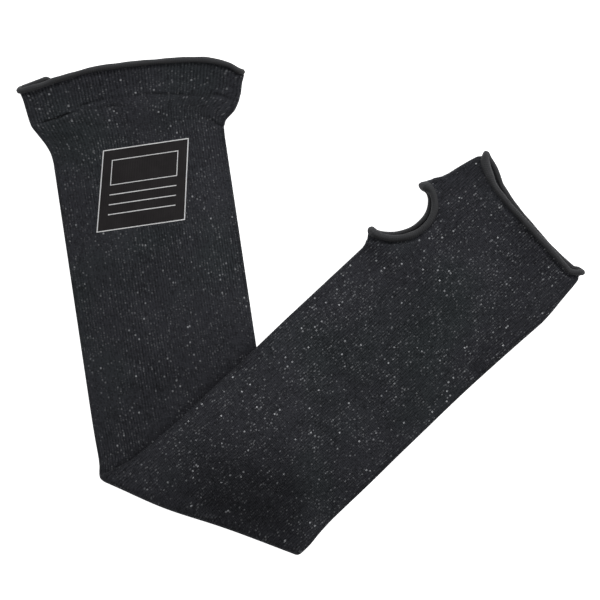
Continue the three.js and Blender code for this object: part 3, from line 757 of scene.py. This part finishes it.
# Bindings
def closed_path(points, count):
    """Evenly spaced points on a smooth closed curve through the given ones."""
    loop = np.concatenate([points[-3:], points, points[:3]])
    fine = []
    for i in range(2, len(loop) - 3):
        before, start, end, after = loop[i - 1:i + 3]
        for part in np.arange(PATH_PARTS) / PATH_PARTS:
            fine.append(0.5 * (
                2 * start + (end - before) * part
                + (2 * before - 5 * start + 4 * end - after) * part ** 2
                + (3 * start - before - 3 * end + after) * part ** 3))
    fine = np.array(fine[PATH_PARTS:PATH_PARTS * (len(points) + 1)])
    closed = np.concatenate([fine, fine[:1]])
    walked = np.concatenate([[0], np.cumsum(np.linalg.norm(np.diff(closed[:, :3], axis=0), axis=1))])
    even = np.linspace(0, walked[-1], count + 1)
    even_columns = [np.interp(even, walked, column) for column in closed.T]
    return np.stack(even_columns, axis=1), walked[-1]


def swept_piece(name, path, radius, length):
    """A bead of round section along a closed path, with fine lengthwise threads."""
    ahead = np.roll(path[:-1], -1, axis=0) - np.roll(path[:-1], 1, axis=0)
    ahead /= np.linalg.norm(ahead, axis=1)[:, None]
    normal = np.zeros_like(ahead)
    first = np.cross(ahead[0], [0, 0, 1])
    normal[0] = first / np.linalg.norm(first)
    for i in range(1, len(ahead)):
        carried = normal[i - 1] - ahead[i] * (normal[i - 1] @ ahead[i])
        normal[i] = carried / np.linalg.norm(carried)
    closing = normal[-1] - ahead[0] * (normal[-1] @ ahead[0])
    side = np.cross(ahead[0], normal[0])
    twist = math.atan2(closing @ side, closing @ normal[0])
    untwist = -twist * np.arange(len(ahead)) / len(ahead)
    turned = (
        normal * np.cos(untwist)[:, None]
        + np.cross(ahead, normal) * np.sin(untwist)[:, None]
    )
    turned = np.concatenate([turned, turned[:1]])
    ahead = np.concatenate([ahead, ahead[:1]])
    round_it = np.linspace(0, 2 * math.pi, BEAD_SIDES + 1)
    threads = 1 - THREAD_DEPTH * np.abs(np.sin(3 * round_it))
    along = np.linspace(0, length, len(path))
    uneven = 1 + sum(wave * np.sin(along / pitch + phase) for wave, pitch, phase in BEAD_WAVES)
    reach = threads[None] * (uneven * radius)[:, None]
    across = np.cross(ahead, turned)
    points = (
        path[:, None]
        + turned[:, None] * (reach * np.cos(round_it))[..., None]
        + across[:, None] * (reach * np.sin(round_it))[..., None]
    )
    first_pattern = along[:, None] + 0 * reach
    second_pattern = (round_it / (2 * math.pi))[None] + 0 * reach
    return surface_piece(name, points, first_pattern, second_pattern, True)


def end_path(station, upward, swell):
    """Bead middles round one end with their radius; swell is where the edge is rolled twice."""
    share, angle = ring_spots(END_RING)
    share, angle = share[None, :-1], angle[None, :-1]
    facing = np.clip(upward * np.sin(angle), 0, 1)
    depth = WALL / 2 - BEAD_RISE * facing
    points = cloth(np.array([[float(station)]]), share, angle, depth)[0][0]
    rising = smooth((share - swell["low"]) / SWELL_RUN + 1)
    falling = smooth((swell["high"] - share) / SWELL_RUN + 1)
    radius = BEAD_RADIUS * (1 + swell["extra"] * (rising * falling * facing)[0])
    return np.concatenate([points, radius[:, None]], axis=1)


def thumb_wall_point(turn, up):
    """Middle of the wall at the hole's edge; turn runs from 0 at the arm side to 180."""
    radius = WALL + side_inside(np.array([float(THUMB_AT)]))[0]
    middle = radius - WALL / 2
    side_middle = THUMB_SIDE_WIDTH - radius + middle
    sine, cosine = math.sin(math.radians(turn)), math.cos(math.radians(turn))
    height = THUMB_SIDE[2]
    for _ in range(THUMB_PASSES):
        half, depth = thumb_size(height)
        station = THUMB_AT - half * cosine + THUMB_SKEW * sine
        width = float(side_width(np.array([station]), "left")[0])
        reach = width - radius
        across = -(side_middle + (width - THUMB_SIDE_WIDTH) * (1 - sine)) + depth * sine
        if across > -reach:
            share, angle = across / reach, -math.pi / 2 if up else math.pi / 2
        else:
            lean = math.acos(min(max((-reach - across) / middle, 0), 1))
            share, angle = -1.0, -lean if up else lean
        point = mid_wall(station, share, angle)
        height = point[2]
    return point


def thumb_path():
    """Bead middles round the thumb hole with their radius, larger where the roll ends."""
    turns = 180 * np.arange(THUMB_TURNS) / THUMB_TURNS
    upper = [thumb_wall_point(turn, True) for turn in turns]
    lower = [thumb_wall_point(180 - turn, False) for turn in turns]
    points = np.array(upper + lower)
    rise = np.concatenate([np.sin(np.radians(turns)), 0 * turns])
    points[:, 2] += BEAD_RISE * np.clip(2 * rise, 0, 1)
    from_end = np.concatenate([180 - turns, turns])
    curl = THUMB_CURL * np.exp(-(from_end / THUMB_CURL_TURN) ** 2)
    points[:, :2] -= curl[:, None] * heading(HAND_HEADING)
    at_hand = np.exp(-((turns - 180) / THUMB_KNOB["turn"]) ** 2)
    at_arm = np.exp(-(turns / THUMB_KNOB["turn"]) ** 2)
    knob = THUMB_KNOB["size"] * (at_hand + THUMB_KNOB["arm_side"] * at_arm)
    radius = np.concatenate([THUMB_BEAD_RADIUS * (1 + knob), BEAD_RADIUS + 0 * turns])
    return np.concatenate([points, radius[:, None]], axis=1)


def make_binding(name, points, end):
    path, length = closed_path(points, PATH_POINTS[end])
    return swept_piece(name, path[:, :3], path[:, 3], length)


def make_label(body):
    """A thin print with straight edges that lies on the upper layer of the arm half."""
    surface = BVHTree.FromPolygons(
        [vert.co for vert in body.data.vertices], [face.vertices for face in body.data.polygons])
    rows = np.linspace(0, 1, LABEL_GRID["rows"])[:, None, None]
    columns = np.linspace(0, 1, LABEL_GRID["columns"])[None, :, None]
    corner = {name: np.array(place) for name, place in LABEL_CORNERS.items()}
    top = mix(corner["top_left"], corner["top_right"], columns)
    bottom = mix(corner["bottom_left"], corner["bottom_right"], columns)
    plan = mix(top, bottom, rows)
    heights = np.empty(plan.shape[:2] + (1,))
    for row, column in np.ndindex(plan.shape[:2]):
        x, y = plan[row, column] / 1000
        hit = surface.ray_cast(Vector((x, y, LABEL_RAY_FROM)), Vector((0, 0, -1)))[0]
        heights[row, column] = hit.z * 1000 + LABEL_THICKNESS
    points = np.concatenate([plan, heights], axis=2) - SHIFT
    across = columns[..., 0] + 0 * rows[..., 0]
    up = 1 - rows[..., 0] + 0 * columns[..., 0]
    piece = surface_piece("label_print", points, across, up, False)
    thicken(piece, LABEL_WALL)
    return piece


# Materials
class Nodes:
    """Small helper that adds and links the nodes of one material."""

    def __init__(self, name, roughness, gloss=0.25):
        self.material = bpy.data.materials.new(name)
        self.material.use_nodes = True
        self.tree = self.material.node_tree
        self.shader = self.tree.nodes["Principled BSDF"]
        self.shader.inputs["Roughness"].default_value = roughness
        self.shader.inputs["Specular IOR Level"].default_value = gloss

    def put(self, socket, value):
        if isinstance(value, bpy.types.NodeSocket):
            self.tree.links.new(value, socket)
        else:
            socket.default_value = value

    def add(self, kind, **settings):
        node = self.tree.nodes.new(kind)
        for key, value in settings.items():
            setattr(node, key, value)
        return node

    def math(self, operation, first, second=0.0, third=0.0):
        node = self.add("ShaderNodeMath", operation=operation)
        for socket, value in zip(node.inputs, (first, second, third)):
            self.put(socket, value)
        return node.outputs[0]

    def mix_colour(self, factor, first, second):
        node = self.add("ShaderNodeMix", data_type="RGBA")
        self.put(node.inputs[0], factor)
        self.put(node.inputs[6], first)
        self.put(node.inputs[7], second)
        return node.outputs[2]

    def band(self, value, low, high):
        """Smooth rise of a value from 0 at low to 1 at high."""
        node = self.add("ShaderNodeMapRange", interpolation_type="SMOOTHSTEP")
        for socket, number in zip(node.inputs, (value, low, high, 0.0, 1.0)):
            self.put(socket, number)
        return node.outputs[0]

    def noise(self, vector, scale, detail=2.0):
        node = self.add("ShaderNodeTexNoise")
        self.put(node.inputs["Vector"], vector)
        node.inputs["Scale"].default_value = scale
        node.inputs["Detail"].default_value = detail
        return node.outputs["Fac"]

    def random(self, vector):
        node = self.add("ShaderNodeTexWhiteNoise", noise_dimensions="3D")
        self.put(node.inputs["Vector"], vector)
        return node.outputs["Value"]

    def join(self, x, y, z):
        node = self.add("ShaderNodeCombineXYZ")
        for socket, value in zip(node.inputs, (x, y, z)):
            self.put(socket, value)
        return node.outputs[0]

    def pattern(self):
        """The two pattern coordinates of the piece."""
        source = self.add("ShaderNodeUVMap", uv_map="pattern")
        split = self.add("ShaderNodeSeparateXYZ")
        self.put(split.inputs[0], source.outputs[0])
        return split.outputs[0], split.outputs[1]

    def attribute(self, name):
        return self.add("ShaderNodeAttribute", attribute_name=name).outputs["Fac"]

    def object_place(self):
        return self.add("ShaderNodeTexCoord").outputs["Object"]

    def times(self, first, second):
        return self.math("MULTIPLY", first, second)

    def times_plus(self, first, second, third):
        return self.math("MULTIPLY_ADD", first, second, third)

    def apart(self, first, second):
        """How far two values are apart."""
        return self.math("ABSOLUTE", self.math("SUBTRACT", first, second))

    def streaks(self, first, second, scales, detail=2.0):
        """Noise that the two scales draw out along one pattern coordinate."""
        drawn_out = self.join(self.times(first, scales[0]), self.times(second, scales[1]), 0.0)
        return self.noise(drawn_out, 1.0, detail)

    def patches(self, place, scale, low, high, over=1.0, least=0.0):
        """Slow patches of a value: the least, and up to over more where the noise is high."""
        return self.times_plus(self.band(self.noise(place, scale), low, high), over, least)

    def bump(self, height, distance):
        node = self.add("ShaderNodeBump")
        node.inputs["Strength"].default_value = 1.0
        node.inputs["Distance"].default_value = distance
        self.put(node.inputs["Height"], height)
        self.put(self.shader.inputs["Normal"], node.outputs[0])


def grey(level, tint=(0.0, 0.0, 0.0)):
    """Linear colour from a display level of 0 to 255 and a tint added to it."""
    channels = [(level + part) / 255 for part in tint]
    linear = [c / 12.92 if c <= 0.04045 else ((c + 0.055) / 1.055) ** 2.4 for c in channels]
    return (*linear, 1)


# Tints are added to display levels of 0 to 255
FABRIC_TINT = (-1.1, -0.5, 3.4)
TEAL_TINT = (-3.2, 0.8, 3.6)
BINDING_TINT = (-0.8, -0.2, 1.8)
BINDING_LEVELS = (39, 82)
PALE_FIBRE = grey(215, (-2, 0, 4))
# Colour toward which painted shade darkens the knit
DEEP_SHADE = grey(4)
DARK_INK = grey(28, (1.5, -1, 0))
WORN_INK = grey(44, (2, -1.5, 0))
PRINT_LINE = grey(252, (0, 0, 1))

# Yarn: its darkest and lightest in shares of its colour, and how much lighter its teal parts are
YARN_RANGE = (0.15, 1.85)
TEAL_LIGHTER = 1.36

# Pale fibres: size in shares of a stitch across and along, chance, strength and seed of each sort
FLECKS = [
    ((0.3, 0.42), 0.4, 0.09, 1),
    ((0.36, 0.45), 0.12, 0.22, 2),
    ((0.44, 0.5), 0.018, 0.6, 3),
]
FLECK_ROWS = 0.8
FLECK_SEEDS = {"chosen": 11.0, "power": 23.0}
FLECK_CORE = {"across": 0.3, "along": 0.5}

# Place and power of a fleck: what a random share adds and where it starts
FLECK_PLACE = (0.4, 0.3)
FLECK_POWER = (0.85, 0.15)

# Flecks are brighter by this share past the fold, over a run between two places in millimetres
FLECKS_BRIGHTER = 0.5
BRIGHTER_FROM = FOLD_AT - 10
BRIGHTER_TO = FOLD_AT + 30

# Patches of the knit: noise scale, the band of noise that counts, what it adds and the least value
CLEARNESS = (22.0, 0.38, 0.62, 0.9, 0.35)
DENSITY = (75.0, 0.3, 0.7, 1.3, 0.35)
TEAL_PATCHES = (17.0, 0.45, 0.75)

# Noise scales over a metre, and how streaks run in shares of a wale and of a course
CLOUD_SCALE = 30.0
PATCH_SCALE = 240.0
FUZZ_SCALE = 2600.0
STREAKS = (0.9, 0.05)
STITCH_LEAN = 0.35
# Painted shade in the valleys between the wales, as a share of the yarn's tone
WALE_SHADE = 0.18

# How much each unevenness changes the tone of the yarn, and its share in the relief
# The course wave darkens the yarn between the courses, which is painted shade
TONES = {"course": 0.12, "stitch": 0.75, "cloudy": 0.5, "patchy": 0.7, "streaky": 0.5}
RELIEF = {"course": 0.25, "fleck": 0.5, "fuzz": 0.3, "patchy": 0.8}
KNIT_RELIEF = 0.0004
BINDING_RELIEF = 0.00018
LABEL_RELIEF = 0.00009

# Binding yarn: streaks per millimetre along and per turn round, and its twist
BINDING_STREAKS = (0.12, 26.0)
BINDING_TWIST = {"pitch": 1.3, "turns": 2}
BINDING_CLOUD_SCALE = 90.0
BINDING_TONES = {"least": 0.12, "streak": 0.7, "twist": 0.05, "cloudy": 0.5}
BINDING_HEIGHTS = {"streak": 0.8, "twist": 0.2}

# Label print, in shares of the label: low and high across, then low and high upward
BORDER = {"sides": (0.007, 0.993, 0.007, 0.993), "width": 0.0075}
PANEL = {"sides": (0.12, 0.88, 0.56, 0.86), "width": 0.006}
RULED = {"at": (0.44, 0.32, 0.2), "from": 0.12, "to": 0.88, "width": 0.007, "soft": 0.004}
LINE_CORE = 0.55
LABEL_THREADS = 36
LABEL_HEIGHTS = {"weave": 0.35, "wear": 0.5}
WEAR_SCALE = 1500.0
WEAR_BAND = (0.1, 0.35)
INK_SCALE = 160.0


def flecks(nodes, wale, course, size, chance, seed):
    """Pale fibres that show on single stitches: brightness 0 to 1, mostly 0.

    size is how much of a stitch a fibre covers, across and along.
    """
    column = nodes.math("FLOOR", wale)
    offset = nodes.random(nodes.join(column, float(seed), 0.0))
    rows = nodes.math("ADD", nodes.times(course, FLECK_ROWS), offset)
    row = nodes.math("FLOOR", rows)
    chosen = nodes.random(nodes.join(column, row, seed + FLECK_SEEDS["chosen"]))
    power = nodes.random(nodes.join(column, row, seed + FLECK_SEEDS["power"]))
    place = nodes.random(nodes.join(row, column, float(seed)))
    middle = nodes.times_plus(place, *FLECK_PLACE)
    across = nodes.apart(nodes.math("FRACT", wale), middle)
    along = nodes.apart(nodes.math("FRACT", rows), 0.5)
    narrow = nodes.band(across, size[0], size[0] * FLECK_CORE["across"])
    short = nodes.band(along, size[1], size[1] * FLECK_CORE["along"])
    shape = nodes.times(narrow, short)
    there = nodes.math("LESS_THAN", chosen, chance)
    squared = nodes.math("POWER", power, 2.0)
    bright = nodes.times_plus(squared, *FLECK_POWER)
    return nodes.times(nodes.times(there, shape), bright)


def fleck_amount(nodes, wale, course, place, strength_here):
    """All sorts of pale fibres together; past the fold they are brighter."""
    density = nodes.patches(place, *DENSITY)
    past_fold = nodes.band(course, BRIGHTER_FROM / COURSE, BRIGHTER_TO / COURSE)
    brightness = nodes.times_plus(past_fold, FLECKS_BRIGHTER * strength_here, strength_here)
    amount = 0.0
    for size, chance, strength, seed in FLECKS:
        layer = flecks(nodes, wale, course, size, nodes.times(density, chance), seed)
        amount = nodes.times_plus(layer, strength, amount)
    return nodes.math("MINIMUM", nodes.times(amount, brightness), 1.0)


def knit_material(name, base_level, wale_relief, fleck_strength):
    """Dark knit with wales and courses, uneven yarn and pale fibres."""
    nodes = Nodes(name, roughness=0.95, gloss=0.12)
    wale, course = nodes.pattern()
    place = nodes.object_place()

    wale_turn = nodes.times(wale, 2 * math.pi)
    wale_ridge = nodes.times_plus(nodes.math("COSINE", wale_turn), -0.5, 0.5)
    leaning = nodes.times(nodes.math("ABSOLUTE", nodes.math("SINE", wale_turn)), STITCH_LEAN)
    course_turn = nodes.times(nodes.math("ADD", course, leaning), 2 * math.pi)
    course_ridge = nodes.times_plus(nodes.math("COSINE", course_turn), 0.5, 0.5)

    half_wale = nodes.math("FLOOR", nodes.times(wale, 2.0))
    waves = {
        "course": course_ridge,
        "stitch": nodes.random(nodes.join(half_wale, nodes.math("FLOOR", course), 3.0)),
        "cloudy": nodes.noise(place, CLOUD_SCALE, 3.0),
        "patchy": nodes.noise(place, PATCH_SCALE),
        "streaky": nodes.streaks(wale, course, STREAKS),
    }
    clearness = nodes.patches(place, *CLEARNESS)
    # Painted shade in the valleys between the wales, stronger where the wales are clear
    wale_dark = nodes.times(nodes.math("SUBTRACT", 1.0, wale_ridge), WALE_SHADE)
    tone = nodes.math("SUBTRACT", 1.0, nodes.times(wale_dark, clearness))
    for wave, amount in TONES.items():
        share = nodes.times_plus(waves[wave], amount, 1 - amount / 2)
        tone = nodes.times(tone, share)

    base = grey(base_level, FABRIC_TINT)
    dark, light = (tuple(share * channel for channel in base[:3]) + (1,) for share in YARN_RANGE)
    teal = grey(base_level * TEAL_LIGHTER, TEAL_TINT)
    yarn = nodes.mix_colour(tone, dark, nodes.mix_colour(nodes.patches(place, *TEAL_PATCHES), light, teal))
    amount = fleck_amount(nodes, wale, course, place, fleck_strength)
    speckled = nodes.mix_colour(amount, yarn, PALE_FIBRE)
    # Painted shade: the knit darkens toward DEEP_SHADE in the creases and at the broad shade spots
    shaded = nodes.mix_colour(nodes.attribute("cloth_shade"), speckled, DEEP_SHADE)
    nodes.put(nodes.shader.inputs["Base Color"], shaded)

    height = nodes.times(nodes.times(wale_ridge, wale_relief), clearness)
    waves.update(fleck=amount, fuzz=nodes.noise(place, FUZZ_SCALE))
    for wave, share in RELIEF.items():
        height = nodes.times_plus(waves[wave], share, height)
    nodes.bump(height, KNIT_RELIEF)
    return nodes.material


def binding_material():
    """Smooth rolled yarn with fine streaks along it."""
    nodes = Nodes("binding_yarn", roughness=0.85)
    along, round_it = nodes.pattern()
    streak = nodes.streaks(along, round_it, BINDING_STREAKS, 3.0)
    turned = nodes.times(round_it, BINDING_TWIST["turns"] * 2 * math.pi)
    twist = nodes.times_plus(along, 2 * math.pi / BINDING_TWIST["pitch"], turned)
    turns = nodes.math("SINE", twist)
    cloudy = nodes.noise(nodes.object_place(), BINDING_CLOUD_SCALE)
    tone = nodes.times_plus(streak, BINDING_TONES["streak"], BINDING_TONES["least"])
    tone = nodes.times_plus(turns, BINDING_TONES["twist"], tone)
    clouds = BINDING_TONES["cloudy"]
    tone = nodes.times(tone, nodes.times_plus(cloudy, clouds, 1 - clouds / 2))
    dark, light = (grey(level, BINDING_TINT) for level in BINDING_LEVELS)
    nodes.put(nodes.shader.inputs["Base Color"], nodes.mix_colour(tone, dark, light))
    height = nodes.times(streak, BINDING_HEIGHTS["streak"])
    height = nodes.times_plus(turns, BINDING_HEIGHTS["twist"], height)
    nodes.bump(height, BINDING_RELIEF)
    return nodes.material


def frame_line(nodes, column, row, frame_row):
    """A thin line round a rectangle of the label."""
    low_x, high_x, low_y, high_y = frame_row["sides"]
    past_x = nodes.math("SUBTRACT", nodes.apart(column, (low_x + high_x) / 2), (high_x - low_x) / 2)
    past_y = nodes.math("SUBTRACT", nodes.apart(row, (low_y + high_y) / 2), (high_y - low_y) / 2)
    edge = nodes.math("ABSOLUTE", nodes.math("MAXIMUM", past_x, past_y))
    return nodes.band(edge, frame_row["width"], frame_row["width"] * LINE_CORE)


def ruled_line(nodes, column, row, at):
    """One of the level lines that stand in for print."""
    line = nodes.band(nodes.apart(row, at), RULED["width"], RULED["width"] * LINE_CORE)
    left = nodes.band(column, RULED["from"] - RULED["soft"], RULED["from"])
    right = nodes.band(column, RULED["to"] + RULED["soft"], RULED["to"])
    return nodes.times(line, nodes.times(left, right))


def label_material():
    """Near black print with a pale line round it, a plain write-on panel and ruled lines."""
    nodes = Nodes("label_ink", roughness=0.55)
    column, row = nodes.pattern()
    place = nodes.object_place()
    lines = [frame_line(nodes, column, row, frame_row) for frame_row in (BORDER, PANEL)]
    lines += [ruled_line(nodes, column, row, at) for at in RULED["at"]]
    pale = lines[0]
    for line in lines[1:]:
        pale = nodes.math("MAXIMUM", pale, line)
    wear = nodes.noise(place, WEAR_SCALE)
    ink = nodes.mix_colour(nodes.noise(place, INK_SCALE, 3.0), DARK_INK, WORN_INK)
    pale = nodes.times(pale, nodes.band(wear, *WEAR_BAND))
    nodes.put(nodes.shader.inputs["Base Color"], nodes.mix_colour(pale, ink, PRINT_LINE))
    weave = nodes.math("SINE", nodes.times(column, 2 * math.pi * LABEL_THREADS))
    height = nodes.times_plus(weave, LABEL_HEIGHTS["weave"], nodes.times(wear, LABEL_HEIGHTS["wear"]))
    nodes.bump(height, LABEL_RELIEF)
    return nodes.material


def floor_material():
    """Plain pale floor that glows a little, so that it is as white as the photo's ground."""
    nodes = Nodes("pale_floor", roughness=0.9, gloss=0.0)
    nodes.shader.inputs["Base Color"].default_value = (0.93, 0.93, 0.93, 1)
    nodes.shader.inputs["Emission Color"].default_value = (1, 1, 1, 1)
    nodes.shader.inputs["Emission Strength"].default_value = 1.0
    return nodes.material


def dress(piece, node, material):
    """Gives a piece its material, hangs it on the root body and hides the solid that it stands for."""
    piece.data.materials.append(material)
    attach(piece, "root")
    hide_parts(node)


# Camera, light and floor
PIXELS = 600
PIXEL_MM = 0.623
LENS = 250
SENSOR = 36
VIEW_CENTRE = (-0.00005, 0.0022)
CLOTH_LEVEL = 0.007
CLIP_END = 20
WORLD_LIGHT = 0.16
FLOOR_HALF = 3
LIGHTS = rows_of("name place size power", [
    ("key", (0.1, 1.75, 1.15), 0.8, 13.5),
    ("top_fill", (0.15, -0.5, 2), 1.2, 3.4),
    ("right_fill", (1.9, 0.7, 0.8), 0.5, 15),
    ("left_fill", (-1.7, 1.2, 0.8), 0.5, 8),
])


def make_camera():
    data = bpy.data.cameras.new("camera")
    data.lens = LENS
    data.sensor_width = SENSOR
    camera = bpy.data.objects.new("camera", data)
    width = PIXELS * PIXEL_MM / 1000
    camera.location = (*VIEW_CENTRE, CLOTH_LEVEL + width * LENS / SENSOR)
    data.clip_end = CLIP_END
    bpy.context.scene.collection.objects.link(camera)
    bpy.context.scene.camera = camera


def area_light(name, place, size, power):
    """A round soft light that looks at the middle of the floor."""
    data = bpy.data.lights.new(name, "AREA")
    data.shape = "DISK"
    data.size = size
    data.energy = power
    light = bpy.data.objects.new(name, data)
    light.location = place
    light.rotation_mode = "QUATERNION"
    light.rotation_quaternion = Vector(place).to_track_quat("Z", "Y")
    bpy.context.scene.collection.objects.link(light)


def make_stage():
    scene = bpy.context.scene
    scene.view_settings.view_transform = "Standard"
    world = bpy.data.worlds.new("studio")
    world.use_nodes = True
    world.node_tree.nodes["Background"].inputs[0].default_value = (1, 1, 1, 1)
    world.node_tree.nodes["Background"].inputs[1].default_value = WORLD_LIGHT
    scene.world = world
    for light in LIGHTS:
        area_light(**light)
    mesh = bmesh.new()
    bmesh.ops.create_grid(mesh, x_segments=1, y_segments=1, size=FLOOR_HALF)
    floor = finish_mesh("floor", mesh)
    floor.data.materials.append(floor_material())


make_camera()
make_stage()

knit = knit_material("sleeve_knit", base_level=44, wale_relief=0.7, fleck_strength=1.1)
rib = knit_material("cuff_rib", base_level=43, wale_relief=0.3, fleck_strength=0.9)
yarn = binding_material()

body = make_body()
dress(body, "sleeve_tube", knit)

cuff = make_cuff()
dress(cuff, "arm_cuff", rib)

arm_edge = make_binding("arm_rolled_edge", end_path(START, 1, ARM_SWELL), "arm")
dress(arm_edge, "arm_binding", yarn)
hand_edge = make_binding("hand_rolled_edge", end_path(END, -1, HAND_SWELL), "hand")
dress(hand_edge, "hand_binding", yarn)
thumb_edge = make_binding("thumb_rolled_edge", thumb_path(), "thumb")
dress(thumb_edge, "thumb_binding", yarn)

label = make_label(body)
dress(label, "label", label_material())
